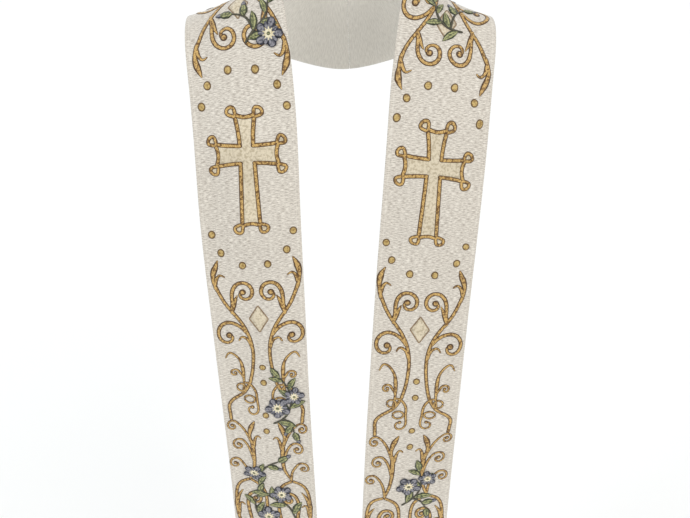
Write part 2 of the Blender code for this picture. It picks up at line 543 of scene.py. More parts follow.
# %% Cloth materials
WHITE_THREAD = (0.77, 0.72, 0.64, 1)
GREY_THREAD = (0.34, 0.295, 0.25, 1)
CREAM_FLECK = (0.82, 0.77, 0.66, 1)
PRESSED_EDGE = (0.72, 0.675, 0.60, 1)
REVERSE_LIGHT = (0.72, 0.69, 0.63, 1)
REVERSE_DARK = (0.60, 0.57, 0.515, 1)
EDGE_LINE = 64.8  # where the pressed line lies, from the band's centre line


def ground_material():
    material, tree, shader = new_material("woven_ground", 0.62, 0.25)
    vector, aside, along, _ = attribute(tree, "weave")
    threads = use_group(
        tree, cross_threads, Place=vector, Streak_Length=6.2, Streak_Width=0.95, Pick=1.15
    )
    colour = blend_colours(tree, threads["Tone"], GREY_THREAD, WHITE_THREAD)
    fleck_share = maths(tree, "MULTIPLY", threads["Fleck"], 0.55)
    colour = blend_colours(tree, fleck_share, colour, CREAM_FLECK)
    from_middle = maths(tree, "ABSOLUTE", aside)
    from_line = maths(tree, "ABSOLUTE", maths(tree, "SUBTRACT", from_middle, EDGE_LINE))
    line_share = remap(tree, from_line, 0.3, 1.3, 0.4, 0.0)
    colour = blend_colours(tree, line_share, colour, PRESSED_EDGE)
    tree.links.new(shaded(tree, colour, 120.0, 0.16), shader.inputs["Base Color"])
    set_bump(tree, shader, threads["Height"], 0.5, 0.35)
    return material


def reverse_material():
    material, tree, shader = new_material("woven_reverse", 0.7, 0.15)
    vector, _, _, _ = attribute(tree, "weave")
    threads = use_group(
        tree, cross_threads, Place=vector, Streak_Length=9.0, Streak_Width=1.1, Pick=1.4
    )
    colour = blend_colours(tree, threads["Tone"], REVERSE_DARK, REVERSE_LIGHT)
    tree.links.new(shaded(tree, colour, 120.0, 0.16), shader.inputs["Base Color"])
    set_bump(tree, shader, threads["Height"], 0.35, 0.25)
    return material


cloth_finishes = (ground_material(), reverse_material())
cloths = {side: cloth_shell(side, cloth_finishes) for side in (LEFT, RIGHT)}
for side, piece in cloths.items():
    print(piece.name, len(piece.data.polygons), "faces before its wall")

# %% [markdown]
# ## Thread as a raised ribbon
#
# A line of satin stitch is a narrow padded ribbon: threads lie side by side across it,
# highest in the middle. A curve with a bevel would be round like a cord, so each line is
# a grid instead, with its rows squeezed to the line's width and its middle raised. Flat
# places are used first: x across the band, y along it from the seam, z above the cloth.
# The attribute thread keeps how far each point is from the ribbon's middle (0) to its
# rim (1) and how far along the ribbon it lies, for the stitch pattern. A round dot is a
# low dome with the same attribute. A sphere would leave a pole with many thin faces, so
# the dome is a square grid squeezed into a disc.

# %% Lines and curls on flat cloth
LINE_STEP = 1.6
CURL_STEP = 30  # degrees between the points that set a curl
STRETCH = 1.1  # round forms are drawn a little longer along the band


def flow(points, step=LINE_STEP):
    """Places at even steps along a smooth curve through a few points."""
    points = np.array(points, float)
    gaps = np.linalg.norm(np.diff(points, axis=0), axis=1)
    places = np.concatenate([[0.0], np.cumsum(gaps)])
    curve = smooth_curve(places, points)
    fine = curve(np.linspace(0.0, places[-1], 24 * len(points)))
    lengths = np.concatenate([[0.0], np.cumsum(np.linalg.norm(np.diff(fine, axis=0), axis=1))])
    even = np.linspace(0.0, lengths[-1], max(4, round(lengths[-1] / step)))
    return np.stack([np.interp(even, lengths, fine[:, i]) for i in (0, 1)], 1)


def curl(centre, start, radius, turn, turns, last_radius=1.4, hold=1.2, fall=1.1):
    """Points of a spiral that winds in. start is in degrees: 0 outwards, 90 along the band.

    It stays wide for a time (hold) and then closes quickly (fall), as drawn scrolls do.
    """
    count = max(3, round(360 * turns / CURL_STEP))
    share = np.linspace(0.0, 1.0, count)
    angle = np.radians(start + turn * 360 * turns * share)
    reach = last_radius + (radius - last_radius) * (1 - share**hold) ** fall
    x, y = centre
    return [(x + r * np.cos(a), y + STRETCH * r * np.sin(a)) for r, a in zip(reach, angle)]


print("a test curl has", len(flow(curl((0, 0), 0, 20, 1, 1.5))), "places")

# %% Ribbons
RIBBON_STRIPS = 4
RIM_ROUND = (0.0, 0.06, 0.2, 0.42, 0.7)  # extra places in a round end, in half widths
CROWN = 0.55  # how high a line 5 mm wide stands
BASE_LIFT = 0.08  # keeps every rim just clear of the cloth
THREAD_SINK = 0.5  # how far its wall reaches down, into the cloth


def widths_at(places, profile):
    """Half widths along a ribbon, from a short profile of (share of length, half width)."""
    shares, halves = zip(*profile)
    return np.interp(places, shares, halves)


def ribbon(bm, line, profile, lift=BASE_LIFT, crown=CROWN, round_ends=True):
    """A raised ribbon of stitches along a line."""
    steps = np.linalg.norm(np.diff(line, axis=0), axis=1)
    places = np.concatenate([[0.0], np.cumsum(steps)])
    length = places[-1]
    at, inwards = places, np.zeros_like(places)
    if round_ends:
        first, last = max(profile[0][1], 0.3), max(profile[-1][1], 0.3)
        ends = [r * first for r in RIM_ROUND] + [length - r * last for r in RIM_ROUND]
        inner = places[(places > first) & (places < length - last)]
        at = np.unique(np.concatenate([ends, inner]))
        at = at[(at >= 0) & (at <= length)]
        inwards = 1 - np.clip(np.minimum(at / first, (length - at) / last), 0, 1)
    cap = np.sqrt(1 - inwards**2).clip(0.12)
    half = widths_at(at / length, profile)
    centre = np.stack([np.interp(at, places, line[:, i]) for i in (0, 1)], 1)
    ahead = np.stack([np.interp(at + 0.4, places, line[:, i]) for i in (0, 1)], 1)
    behind = np.stack([np.interp(at - 0.4, places, line[:, i]) for i in (0, 1)], 1)
    direction = ahead - behind
    direction /= np.linalg.norm(direction, axis=1)[:, None]
    normal = np.stack([-direction[:, 1], direction[:, 0]], 1)
    thread = bm.verts.layers.float_vector["thread"]
    verts, column, aside = flat_grid(bm, len(at) - 1, RIBBON_STRIPS)
    index = np.round(column * (len(at) - 1)).astype(int)
    rim = np.sqrt(inwards[index] ** 2 + (aside * cap[index]) ** 2)
    place = centre[index] + normal[index] * (half * cap)[index, None] * aside[:, None]
    rise = crown * np.minimum(1.0, half[index] / 2.2) * (1 - np.clip(rim, 0, 1) ** 2) ** 0.6
    for vert, (x, y), z, r, a, i in zip(verts, place, rise, rim, aside, index):
        vert.co = (x, y, z + lift)
        vert[thread] = (r, at[i], a)


DOME_STRIPS = 12


def dome(bm, x, y, radius, rise, lift=BASE_LIFT, stretch=1.0):
    """A round dome of stitches: a square grid squeezed into a disc and raised."""
    thread = bm.verts.layers.float_vector["thread"]
    verts, column, row = flat_grid(bm, DOME_STRIPS, DOME_STRIPS)
    u, v = 2 * column - 1, row
    across, along = u * np.sqrt(1 - v**2 / 2), v * np.sqrt(1 - u**2 / 2)
    out = np.hypot(across, along).clip(0, 1)
    up = rise * np.sqrt(1 - out**2)
    for vert, a, b, z, r in zip(verts, across, along, up, out):
        vert.co = (x + a * radius, y + b * radius * stretch, lift + z)
        vert[thread] = (r, b * radius, a)


def new_stitching():
    """An empty bmesh that can hold ribbons."""
    bm = bmesh.new()
    bm.verts.layers.float_vector.new("thread")
    return bm


# %% [markdown]
# ## Laying flat stitching on the worn band
#
# Everything embroidered on one side of the stole is first drawn flat and joined by kind
# of thread. Only then is it sent to the worn band in one go, by the same Band that bent
# the cloth. The faces are turned round on the left side, where the flat drawing and the
# cloth face opposite ways.

# %% From flat to worn
Drift = namedtuple("Drift", "along shift aside slant")

# The pattern is not quite square on the cloth. At each place along a side: how far the
# pattern has slipped along the band and outwards, and how much its rows slant.
DRIFT = {
    RIGHT: (
        Drift(0, 0, 0, 0.0),
        Drift(120, -8, -6, -0.10),
        Drift(250, -7, -6.5, -0.09),
        Drift(294, -2, -5, -0.09),
        Drift(340, -2.5, -3.6, -0.08),
        Drift(358, -0.4, -2, -0.08),
        Drift(398, 0, -2, -0.06),
        Drift(447, 1, -2, -0.025),
        Drift(540, 0, -2, 0.0),
        Drift(586, 0.5, -2, 0.023),
        Drift(604, 2.9, -3, 0.03),
        Drift(630, 1, -2, 0.02),
        Drift(690, 0, -2, 0.01),
        Drift(722, 1, -2, 0.03),
        Drift(755, 0.3, -2, 0.05),
        Drift(800, -4.5, -1.4, 0.01),
        Drift(845, -4, -1, 0.0),
        Drift(895, -2, 1, 0.01),
        Drift(935, -2, 2.5, -0.03),
        Drift(975, -1, 3, -0.02),
        Drift(1010, -12, 2, 0.0),
        Drift(1070, -9, 2, 0.0),
        Drift(1380, 0, 0, 0.0),
    ),
    LEFT: (
        Drift(0, 0, 0, 0.0),
        Drift(120, 5, -3.4, -0.2),
        Drift(235, 5, -3.4, -0.22),
        Drift(262, 5, -3.4, -0.17),
        Drift(294, 1.5, -2.4, -0.07),
        Drift(318, 0.5, 0.6, -0.01),
        Drift(340, 0, -2.6, 0.04),
        Drift(358, 0, -1.2, 0.04),
        Drift(382, -1.4, -1.8, 0.045),
        Drift(394, 0, -3.2, 0.055),
        Drift(545, 0, -3.4, 0.055),
        Drift(562, -1, -2.8, 0.045),
        Drift(586, -2, -3.4, 0.038),
        Drift(604, -0.5, -5.4, 0.035),
        Drift(626, 0, -2.8, 0.02),
        Drift(700, 0, -1, 0.0),
        Drift(780, 3.5, 1, -0.03),
        Drift(830, 3, 1.5, -0.03),
        Drift(895, 0.5, 0, -0.12),
        Drift(935, 1.5, -1.6, -0.17),
        Drift(975, 0.5, -2.2, -0.15),
        Drift(1015, -2, -1.5, -0.12),
        Drift(1060, 0, -1, -0.10),
        Drift(1380, 0, 0, 0.0),
    ),
}


def lay_on_band(bm, side):
    """Moves flat stitching, in millimetres, to its place on one side of the stole."""
    flat = np.array([v.co for v in bm.verts])
    x, y = flat[:, 0], flat[:, 1]
    stops = np.array([row.along for row in DRIFT[side]])
    shift, aside, slant = (
        np.interp(y, stops, [getattr(row, name) for row in DRIFT[side]])
        for name in ("shift", "aside", "slant")
    )
    run = SEAM_SHIFT + side * (y + shift + slant * x)
    points = band.surface(run, (x + aside) / HALF_WIDTH, WALL / 2 + flat[:, 2]) * MM
    for vert, point in zip(bm.verts, points):
        vert.co = point
    if side == LEFT:
        bmesh.ops.reverse_faces(bm, faces=bm.faces)


def stitched_piece(name, bm, side, material, sink=THREAD_SINK):
    """One kind of stitching on one side, as a finished piece with a closed wall."""
    lay_on_band(bm, side)
    piece = new_piece(f"{name}_{SIDE_NAMES[side]}", bm, [material])
    add_wall(piece, sink, -1.0)
    stitched[side].append(piece)
    return piece


stitched = {LEFT: [], RIGHT: []}

# %% [markdown]
# ## Satin stitch, as a shared effect
#
# Satin stitch shows three things: a dark rim where the thread turns under, fine slanting
# lines where threads lie side by side, and patches where the thread is twisted and looks
# darker. The dark rim is painted shade, where the raised thread turns down to the cloth.
# One group makes the rim and the lines from the thread attribute, and the patches from a
# noise. All the threads use it, each with its own pitch and slant.

# %% Group: satin stitch
satin_stitch, group_in, group_out = new_group(
    "satin_stitch",
    {"Place": "Vector", "Pitch": "Float", "Slant": "Float", "Rim Start": "Float"},
    {"Rim": "Float", "Thread": "Float", "Twist": "Float", "Height": "Float"},
)
calc = partial(maths, satin_stitch)
given = group_in.outputs
parts = add_node(satin_stitch, "SeparateXYZ", Vector=given["Place"]).outputs
# Rim is a mask for painted shade along the edges of each ribbon and dome.
rim_end = calc("ADD", given["Rim Start"], 0.22)
rim = remap(satin_stitch, parts[0], given["Rim Start"], rim_end)
slanted = calc("MULTIPLY_ADD", parts[2], given["Slant"], parts[1])
turns = calc("DIVIDE", slanted, given["Pitch"])
here = add_node(satin_stitch, "TexCoord").outputs["Object"]
jitter = calc("MULTIPLY", noise(satin_stitch, here, 420.0, 1.0), 1.6)
wave = calc("SINE", calc("MULTIPLY", calc("ADD", turns, jitter), FULL_TURN))
thread_line = calc("MULTIPLY_ADD", wave, 0.5, 0.5)
twist = remap(satin_stitch, noise(satin_stitch, here, 300.0, 2.0), 0.42, 0.67)
height = calc("MULTIPLY_ADD", twist, 0.5, thread_line)
satin_stitch.links.new(rim, group_out.inputs["Rim"])
satin_stitch.links.new(thread_line, group_out.inputs["Thread"])
satin_stitch.links.new(twist, group_out.inputs["Twist"])
satin_stitch.links.new(height, group_out.inputs["Height"])
print("group satin_stitch:", len(satin_stitch.nodes), "nodes")


# %% Thread materials
def thread_material(
    name, light, deep, rim, pitch, slant, rim_start, rim_shade_share, lines=0.4, gloss=0.45, vein=0.0
):
    """Stitching in one thread: light and deep tones, a rim darkened as painted shade and perhaps a
    vein.
    """
    material, tree, shader = new_material(name, gloss, 0.2)
    vector, _, _, aside = attribute(tree, "thread")
    stitch = use_group(
        tree, satin_stitch, Place=vector, Pitch=pitch, Slant=slant, Rim_Start=rim_start
    )
    colour = blend_colours(tree, stitch["Twist"], light, deep)
    line_share = maths(tree, "MULTIPLY", stitch["Thread"], lines)
    colour = blend_colours(tree, line_share, colour, deep)
    if vein:
        vein_share = remap(tree, maths(tree, "ABSOLUTE", aside), 0.05, 0.2, vein, 0.0)
        colour = blend_colours(tree, vein_share, colour, rim)
    # The rim colour is painted shade, darkest where the raised thread turns down to the cloth.
    painted_rim_shade = maths(tree, "MULTIPLY", stitch["Rim"], rim_shade_share)
    colour = blend_colours(tree, painted_rim_shade, colour, rim)
    tree.links.new(shaded(tree, colour, 60.0, 0.3), shader.inputs["Base Color"])
    set_bump(tree, shader, stitch["Height"], 0.6, 0.25)
    return material


# In each thread, rim is the colour of the painted shade along its edges.
GOLD = thread_material(
    "gold_thread",
    light=(0.68, 0.44, 0.15, 1),
    deep=(0.15, 0.072, 0.016, 1),
    rim=(0.068, 0.031, 0.010, 1),
    pitch=2.9,
    slant=2.2,
    rim_start=0.46,
    rim_shade_share=0.97,
    lines=0.5,
)
DOT_GOLD = thread_material(
    "dot_thread",
    light=(0.58, 0.42, 0.16, 1),
    deep=(0.27, 0.16, 0.04, 1),
    rim=(0.09, 0.048, 0.018, 1),
    pitch=2.4,
    slant=1.4,
    rim_start=0.6,
    rim_shade_share=0.92,
)
LINE_GOLD = thread_material(
    "fine_line_thread",
    light=(0.32, 0.225, 0.13, 1),
    deep=(0.18, 0.12, 0.07, 1),
    rim=(0.13, 0.085, 0.05, 1),
    pitch=1.6,
    slant=0.6,
    rim_start=0.7,
    rim_shade_share=0.5,
)
CREAM_FILL = thread_material(
    "cream_fill",
    light=(0.71, 0.625, 0.475, 1),
    deep=(0.46, 0.385, 0.265, 1),
    rim=(0.60, 0.52, 0.39, 1),
    pitch=1.7,
    slant=0.0,
    rim_start=0.97,
    rim_shade_share=0.0,
    gloss=0.6,
)
LEAF = thread_material(
    "leaf_thread",
    light=(0.44, 0.44, 0.20, 1),
    deep=(0.055, 0.068, 0.024, 1),
    rim=(0.022, 0.03, 0.014, 1),
    pitch=2.0,
    slant=5.0,
    rim_start=0.5,
    rim_shade_share=0.95,
    gloss=0.5,
    vein=0.7,
)
PETAL = thread_material(
    "petal_thread",
    light=(0.33, 0.318, 0.345, 1),
    deep=(0.055, 0.057, 0.072, 1),
    rim=(0.014, 0.016, 0.03, 1),
    pitch=1.8,
    slant=3.0,
    rim_start=0.48,
    rim_shade_share=0.96,
    vein=0.3,
)
HEART = thread_material(
    "heart_thread",
    light=(0.86, 0.80, 0.60, 1),
    deep=(0.62, 0.52, 0.30, 1),
    rim=(0.34, 0.25, 0.12, 1),
    pitch=1.4,
    slant=1.0,
    rim_start=0.8,
    rim_shade_share=0.6,
)
TWIG = thread_material(
    "twig_thread",
    light=(0.085, 0.075, 0.04, 1),
    deep=(0.035, 0.032, 0.022, 1),
    rim=(0.012, 0.011, 0.009, 1),
    pitch=1.4,
    slant=1.0,
    rim_start=0.6,
    rim_shade_share=0.8,
)
threads = (GOLD, DOT_GOLD, LINE_GOLD, CREAM_FILL, LEAF, PETAL, HEART, TWIG)
print("threads:", [material.name for material in threads])

# %% [markdown]
# ## The cross
#
# Each side bears a tall cross drawn in outline, with flared arms, hollowed ends and a
# small loop at each of its eight corners. It is an old and common form. The outline is
# two cords in each angle of the cross, plus four hollowed ends and eight loops. Half of
# it is written down, and the other half is its mirror image. A cream filling lies
# inside, made the same way, as wide flat ribbons without a rim.

# %% Cross sizes
CROSS_ALONG = 447.0  # where its arms meet, from the seam behind the neck
CORD = 3.2  # half width of the outline
CORD_PROFILE = ((0, CORD), (1, CORD))
HEAD_HALF, HEAD_END, HEAD_THROAT = 13.0, -49.0, 8.8
FOOT_HALF, FOOT_END, FOOT_THROAT = 12.4, 98.5, 9.4
ARM_TOP, ARM_FOOT, ARM_END, ARM_THROAT = -13.6, 15.2, 41.0, 11.6
HOLLOW = 3.2  # how far each end is hollowed
OUTSET = 2.2  # how far the ends of the shaft stand beyond their corners
ARM_OUTSET = 1.2  # and the ends of the arms beyond theirs
LOOP_WIDTH = 6.6
LOOP_CORD = ((0, 2.7), (1, 2.7))
EYE_RADIUS = 3.3  # of the cream inside a loop
SHAFT_FILL = ((0, 12.4), (0.24, 8.8), (0.36, 8.8), (1, 11.8))
BEAM_FILL = ((0, 14.0), (0.5, 11.0), (1, 14.0))
FLAT = {"crown": 0.1, "round_ends": False}  # how a filling differs from a cord
Loop = namedtuple("Loop", "x y tilt reach")
CROSS_LOOPS = (  # from a corner; tilt: the way each points, 0 outwards, 90 towards the hem
    Loop(HEAD_HALF, HEAD_END, -52, 13.4),
    Loop(ARM_END, ARM_TOP, -38, 12.2),
    Loop(ARM_END, ARM_FOOT, 50, 12.6),
    Loop(FOOT_HALF, FOOT_END, 52, 13.8),
)


def mirrored_lines(line):
    """A line and its mirror image across the band's centre line."""
    line = np.array(line, float)
    return line, line * (-1, 1)


def turned(points, x, y, tilt):
    """Points of a small drawing, turned by tilt and moved to x, y."""
    c, s = np.cos(np.radians(tilt)), np.sin(np.radians(tilt))
    return [(x + c * u - s * v, y + s * u + c * v) for u, v in points]


def loop_line(loop):
    """A cord that leaves a corner, turns round in a drop and comes back to it."""
    r, w = loop.reach, LOOP_WIDTH
    going = ((-1.5, 0.8), (0.35 * r, -0.62 * w), (0.72 * r, -0.86 * w), (r, 0))
    drop = going + ((0.72 * r, 0.86 * w), (0.35 * r, 0.62 * w), (-1.5, -0.8))
    return flow(turned(drop, loop.x, loop.y, loop.tilt), 1.0)


def cross_lines():
    """The outline's lines in one half of the cross, about its crossing."""
    upper_angle = (HEAD_THROAT, -ARM_THROAT)
    lower_angle = (FOOT_THROAT, ARM_THROAT)
    edge = ARM_END + ARM_OUTSET
    return [
        flow([(HEAD_HALF, HEAD_END), (HEAD_THROAT + 1.2, -30), upper_angle]),
        flow([(upper_angle[0] - CORD, upper_angle[1]), (24, -12.1), (ARM_END, ARM_TOP)]),
        flow([(ARM_END, ARM_FOOT), (24, 12.6), (lower_angle[0] - CORD, lower_angle[1])]),
        flow([lower_angle, (FOOT_THROAT + 1.3, 52), (FOOT_HALF, FOOT_END)]),
        flow([(edge, ARM_TOP), (edge - HOLLOW, 0), (edge, ARM_FOOT)]),
    ]


def add_cross(outline, filling):
    """The whole cross: its cords on one bmesh and its cream filling on another."""
    for half_line in cross_lines():
        for line in mirrored_lines(half_line):
            ribbon(outline, line + (0, CROSS_ALONG), CORD_PROFILE)
    for end, half, way in ((HEAD_END, HEAD_HALF, 1), (FOOT_END, FOOT_HALF, -1)):
        edge = end - OUTSET * way
        hollow = flow([(-half, edge), (0, edge + HOLLOW * way), (half, edge)])
        ribbon(outline, hollow + (0, CROSS_ALONG), CORD_PROFILE)
    for loop in CROSS_LOOPS:
        for line in mirrored_lines(loop_line(loop)):
            ribbon(outline, line + (0, CROSS_ALONG), LOOP_CORD, lift=0.2)
        eye = turned([(0.62 * loop.reach, 0)], loop.x, loop.y, loop.tilt)
        for middle in mirrored_lines(eye):
            dome(filling, middle[0][0], CROSS_ALONG + middle[0][1], EYE_RADIUS, 0.1)
    shaft = flow([(0, HEAD_END + 2), (0, 0), (0, FOOT_END - 2)])
    ribbon(filling, shaft + (0, CROSS_ALONG), SHAFT_FILL, lift=0.1, **FLAT)
    beam = flow([(2 - ARM_END, 0), (0, 0), (ARM_END - 2, 0)])
    ribbon(filling, beam + (0, CROSS_ALONG), BEAM_FILL, lift=0.14, **FLAT)


print("cross", HEAD_END, "to", FOOT_END, "mm from its arms,", 2 * ARM_END, "mm wide")

# %% [markdown]
# ## Dots and lozenges
#
# Round dots ring the cross above and below, and more dots run down the centre line
# between the scrolls. Each is a low dome of stitches. A thin lozenge stands inside each
# pair of scroll heads. Dots, lozenges and most of the scrolls are drawn once, for p
# millimetres away from a mirror line at the cross, and are used both towards the hem and
# towards the neck.

# %% Dots and lozenges
MIRROR_ALONG = 472.0  # the scrolls above and below the cross mirror each other here
DOT_RADIUS = 5.4
DOT_RISE = 0.75
DOTS_ROUND_CROSS = ((57, 87), (46.5, 114), (18, 132))  # across, p
DOTS_ON_AXIS = {LEFT: (309, 339, 404, 436), RIGHT: (309, 339, 400, 430)}  # p
LOZENGE_P = 221.5
LOZENGE_HALF = (14.3, 22.0)  # across, along
LOZENGE_LINE = ((0, 1.1), (1, 1.1))


def add_dots(bm, toward, axis_dots):
    """The dots on one side of the mirror line: toward is 1 to the hem, -1 to the neck."""
    for x, p in DOTS_ROUND_CROSS:
        for way in (1, -1):
            dome(bm, way * x, MIRROR_ALONG + toward * p, DOT_RADIUS, DOT_RISE, stretch=STRETCH)
    for p in axis_dots:
        dome(bm, 0, MIRROR_ALONG + toward * p, DOT_RADIUS, DOT_RISE, stretch=STRETCH)


def add_lozenge(line_bm, fill_bm, y):
    """A thin four-cornered line with a cream filling."""
    across, along = LOZENGE_HALF
    corners = [(0, y - along), (across, y), (0, y + along), (-across, y), (0, y - along)]
    for start, end in zip(corners, corners[1:]):
        ribbon(line_bm, flow([start, end]), LOZENGE_LINE)
    middle = flow([(0, y - along + 1), (0, y + along - 1)])
    ribbon(fill_bm, middle, ((0, 0.6), (0.5, across - 1), (1, 0.6)), lift=0.1, **FLAT)


print(2 * len(DOTS_ROUND_CROSS), "dots on each side of the cross")
print(len(DOTS_ON_AXIS[LEFT]), "more between the scrolls")

# %% [markdown]
# ## Scrolls
#
# The scrolls are an old ornament: long stems that part and meet like a lyre, curls that
# end in a round bulb, and short leaves where stems branch. A few points set each stem, a
# curl is given by its centre, its radius and its turns, and both halves are one drawing
# mirrored. x is the distance from the centre line and p the distance from the mirror
# line. Where two lines cross, one of them is lifted a little. Behind the neck, where the
# pattern stops at the seam, a small curl closes each stem.

# %% Scroll drawing
Stroke = namedtuple("Stroke", "line profile lift bulb")

STEM = ((0, 3.0), (1, 3.0))
CURLED = ((0, 1.4), (0.1, 2.8), (0.35, 3.4), (0.7, 3.2), (1, 2.5))
THIN_CURL = ((0, 1.3), (0.1, 2.4), (0.4, 2.3), (0.7, 2.0), (1, 1.8))
TRUNK = ((0, 2.6), (0.4, 3.1), (0.8, 4.1), (1, 3.4))
TO_TIP = ((0, 1.3), (0.12, 2.5), (0.6, 2.5), (1, 1.2))
HOOK_LEAF = ((0, 1.8), (0.3, 3.8), (0.6, 2.8), (1, 1.1))
LEAF_TIP = ((0, 2.4), (0.38, 2.8), (0.58, 4.4), (0.73, 5.0), (0.88, 3.2), (1, 0.8))
SHORT_LEAF = ((0, 1.4), (0.25, 4.2), (0.5, 4.5), (0.75, 2.8), (1, 0.8))
BELLIED = ((0, 1.2), (0.12, 2.0), (0.38, 2.4), (0.55, 3.5), (0.72, 2.4), (1, 1.7))
CLOSING = ((0, 2.5), (0.4, 2.8), (1, 1.9))
BULB = 4.9


def stem(*line, lift=BASE_LIFT):
    return Stroke(line, STEM, lift, 0)


def hook(*line, lift=BASE_LIFT, profile=TO_TIP):
    return Stroke(line, profile, lift, 0)


def scroll(*line, lift=BASE_LIFT, bulb=BULB, profile=CURLED):
    """A stem that ends in a curl and a round bulb."""
    return Stroke(line, profile, lift, bulb)


def tendril(*line, lift=BASE_LIFT, bulb=3.5):
    """A thinner scroll."""
    return scroll(*line, lift=lift, bulb=bulb, profile=THIN_CURL)


HEAD = (
    hook((57.5, 176), (62, 158), (60.5, 141), (53.3, 124), lift=0.2, profile=LEAF_TIP),
    hook((60.5, 172), (58, 156), (51.5, 148), (44.5, 152), profile=HOOK_LEAF),
    scroll((39, 214), (37.5, 197), *curl((19.6, 178.2), -30, 15.8, -1, 1.05, 1.6, 1.8), bulb=5.1),
    hook((40, 214), (37.5, 203), (33.5, 192), (28.5, 181.5), profile=SHORT_LEAF, lift=0.15),
    scroll((17, 252), (25, 239), *curl((47.6, 250), -118, 21, 1, 0.98, 1.2), bulb=5.4),
    hook((13.5, 274), (16, 264.5), (21.5, 254.2), (27.7, 251.7), (33, 259), lift=0.2),
)
WAIST = (
    stem((60.5, 164), (46.5, 198), (25, 231), (13.5, 269), (14, 300), (17, 322), (22, 343)),
)
BODY = (
    stem((22, 341), (34, 361), (50, 373), (58, 384), (58, 398), (57, 413), lift=0.3),
    hook((57, 291), (50, 280), (38, 289), (31.5, 312), (31, 337), (34, 358), profile=BELLIED),
    tendril((31, 341), (32.5, 328), *curl((44.5, 323), 190, 8, 1, 1.1), bulb=3.0),
    tendril(
        (34, 343), (27, 341), (19.5, 346), (13.5, 358), (12.5, 374),
        *curl((21, 389.5), 175, 9.6, -1, 0.75, 3.2, 2.6, 2.4), lift=0.2, bulb=3.2,
    ),
)
TREE = (
    hook((35, 542), (27, 517), (23.5, 484), (26, 450), lift=0.2, profile=TRUNK),
    hook((24, 460), (28.5, 443), (26.5, 429), (19, 412.5), lift=0.35, profile=LEAF_TIP),
    hook((24, 474), (21, 453), (15, 441.5), (9.5, 446), profile=HOOK_LEAF),
    tendril((23.5, 468), (33, 440), *curl((55.8, 424.5), -140, 10, 1, 1.2)),
    tendril((23.5, 500), (28, 478), *curl((47.4, 463.5), -150, 12, 1, 1.2), lift=0.25, bulb=3.7),
    tendril((34, 542), (37, 516), *curl((56, 502), -150, 11.2, 1, 1.2), lift=0.3),
)
ARCHES = (
    stem((35, 542), (52, 550), (62, 582), (57, 632), (35, 668)),
    stem((35, 542), (17, 553), (9.5, 590), (15, 632), (35, 668), lift=0.2),
    scroll((35, 656), (41, 608), *curl((28, 580), -20, 12, -1, 1.2), lift=0.3, bulb=4.2),
    hook((62, 608), (61.5, 590), (56.5, 575), (49, 564), lift=0.3, profile=SHORT_LEAF),
    hook((60, 622), (58.5, 602), (54, 591), (47.5, 596), lift=0.15, profile=HOOK_LEAF),
    stem((35, 668), (27, 692), (15, 712), (13, 742), lift=0.3),
)
CLOSING_CURL = curl((47.5, 414), 0, 10, 1, 1.2)
NAPE_END = (scroll((57, 402), (57.5, 408), *CLOSING_CURL, lift=0.4, bulb=3.6, profile=CLOSING),)
TIE_CORD = ((0, 1.8), (1, 1.8))
TIES = ((36, 350.0, 6.9, 1.0), (24.3, 371.5, 8.3, 0.82))  # x, p, radius, stretch
LOWER_HEAD_ALONG = 1477.0  # the head is used again above the hem, upside down


def add_strokes(bm, strokes, start, toward):
    """Strokes and their mirror images, from a mirror line towards the hem (1) or neck (-1)."""
    for drawn in strokes:
        line = flow(drawn.line)
        line[:, 1] = start + toward * line[:, 1]
        for half in mirrored_lines(line):
            ribbon(bm, half, drawn.profile, drawn.lift)
            if drawn.bulb:
                dome(bm, *half[-1], drawn.bulb, 0.8, drawn.lift + 0.1)


def add_ties(bm, start, toward):
    """Small rings that tie two stems."""
    angle = np.radians(np.linspace(0, 360, 37))
    for x, p, radius, stretch in TIES:
        along = start + toward * (p + stretch * radius * np.sin(angle))
        for half in mirrored_lines(np.stack([x + radius * np.cos(angle), along], 1)):
            ribbon(bm, half, TIE_CORD, lift=0.6)


def add_scrolls(bm):
    """All the scrolls of one side of the stole."""
    for toward in (1, -1):
        add_strokes(bm, HEAD + WAIST + BODY, MIRROR_ALONG, toward)
        add_ties(bm, MIRROR_ALONG, toward)
    add_strokes(bm, TREE + ARCHES, MIRROR_ALONG, 1)
    add_strokes(bm, NAPE_END, MIRROR_ALONG, -1)
    add_strokes(bm, HEAD + WAIST, LOWER_HEAD_ALONG, -1)


print(len(HEAD + WAIST + BODY + TREE + ARCHES), "strokes in half of the drawing")

# %% Embroider both sides in gold
for side in (LEFT, RIGHT):
    scrolls, crosses, dots, lines, fills = (new_stitching() for _ in range(5))
    add_scrolls(scrolls)
    add_cross(crosses, fills)
    add_dots(dots, 1, DOTS_ON_AXIS[side])
    add_dots(dots, -1, DOTS_ON_AXIS[side])
    for y in (MIRROR_ALONG - LOZENGE_P, MIRROR_ALONG + LOZENGE_P, LOWER_HEAD_ALONG - LOZENGE_P):
        add_lozenge(lines, fills, y)
    stitched_piece("scrolls", scrolls, side, GOLD)
    stitched_piece("cross", crosses, side, GOLD)
    stitched_piece("dots", dots, side, DOT_GOLD)
    stitched_piece("lozenges", lines, side, LINE_GOLD)
    stitched_piece("fillings", fills, side, CREAM_FILL)
    print("side", SIDE_NAMES[side], [len(p.data.polygons) for p in stitched[side]], "faces")

# %% [markdown]
# ## Sprays of flowers
#
# Small sprays lie over the scrolls: five-petalled flowers in violet-grey with a cream
# heart, sprigs with leaves on both sides, and pairs of buds on thin dark twigs. They are
# plain garden forms in a layout made up for this file. Petals and leaves are the same
# ribbons as the scrolls, only short and bellied, so one stitch effect serves them all.
# A flower has a second, smaller ring of petals over the gaps of the first. A sprig is a
# bent line with a leaf at its tip and others that leave it by turns on each side. Each
# row gives places on the flat cloth, directions (0 outwards, 90 towards the hem), sizes.

# %% Flowers, leaves and buds
Bloom = namedtuple("Bloom", "x y turn size")
Sprig = namedtuple("Sprig", "line leaves length")
Buds = namedtuple("Buds", "line length")

